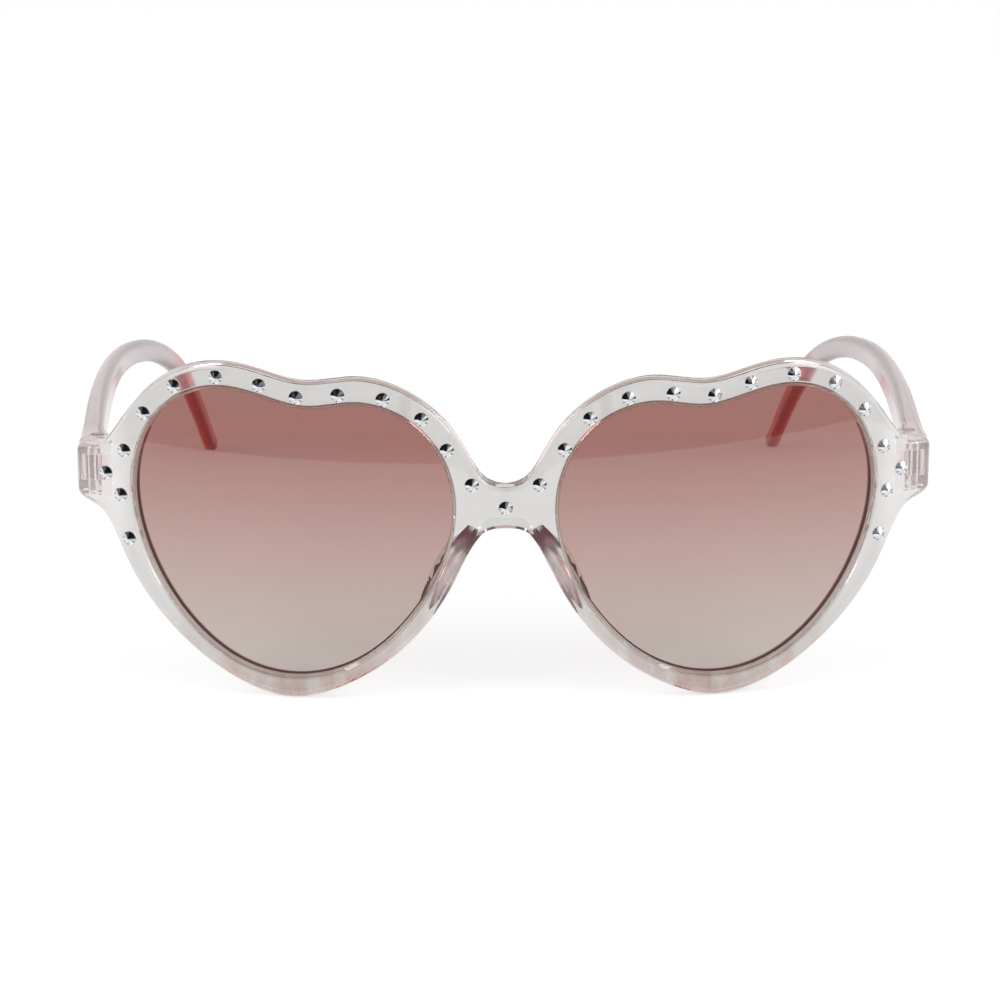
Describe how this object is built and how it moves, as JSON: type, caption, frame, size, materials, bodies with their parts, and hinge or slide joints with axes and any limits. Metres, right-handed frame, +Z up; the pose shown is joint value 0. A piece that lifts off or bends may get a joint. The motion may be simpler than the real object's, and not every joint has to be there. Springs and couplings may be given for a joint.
{
  "type": "heart shaped sunglasses",
  "caption": "Heart shaped sunglasses with a clear wrapped front edged in rhinestones, gradient tinted lenses and clear temples that fold on screw hinges.",
  "frame": {"origin": "on the table, midway between the bridge and the temple tips, on the plane of symmetry", "axes": "+X to the wearer's left, +Y back from the front towards the ears, +Z up as worn"},
  "size_m": [0.1468, 0.1498, 0.0582],
  "materials": {
    "front_plastic": "clear moulded polycarbonate with a faint pink tint, polished",
    "temple_plastic": "clear moulded polycarbonate with a faint pink tint, polished",
    "lens_tint": "clear acrylic with a rose-brown tint that fades downwards, polished",
    "gem_foil": "foil-backed faceted stone",
    "hinge_steel": "turned steel"
  },
  "bodies": {
    "front": {"front_frame": "front_plastic", "left_lens": "lens_tint", "right_lens": "lens_tint", "rhinestone_01": "gem_foil", "rhinestone_02": "gem_foil", "rhinestone_03": "gem_foil", "rhinestone_04": "gem_foil", "rhinestone_05": "gem_foil", "rhinestone_06": "gem_foil", "rhinestone_07": "gem_foil", "rhinestone_08": "gem_foil", "rhinestone_09": "gem_foil", "rhinestone_10": "gem_foil", "rhinestone_11": "gem_foil", "rhinestone_12": "gem_foil", "rhinestone_13": "gem_foil", "rhinestone_14": "gem_foil", "rhinestone_15": "gem_foil", "rhinestone_16": "gem_foil", "rhinestone_17": "gem_foil", "rhinestone_18": "gem_foil", "rhinestone_19": "gem_foil", "rhinestone_20": "gem_foil", "rhinestone_21": "gem_foil", "rhinestone_22": "gem_foil", "rhinestone_23": "gem_foil", "rhinestone_24": "gem_foil", "rhinestone_25": "gem_foil", "rhinestone_26": "gem_foil", "rhinestone_27": "gem_foil", "rhinestone_28": "gem_foil", "rhinestone_29": "gem_foil"},
    "left_temple_arm": {"left_temple": "temple_plastic", "left_hinge_screw": "hinge_steel"},
    "right_temple_arm": {"right_temple": "temple_plastic", "right_hinge_screw": "hinge_steel"}
  },
  "joints": [
    {"name": "left_temple_fold", "type": "hinge", "parent": "front", "child": "left_temple_arm", "pos_m": [0.0695, -0.05523, 0.0376], "axis": [0, 0, 1], "range_deg": [0, 85]},
    {"name": "right_temple_fold", "type": "hinge", "parent": "front", "child": "right_temple_arm", "pos_m": [-0.0695, -0.05523, 0.0376], "axis": [0, 0, -1], "range_deg": [0, 79]}
  ]
}
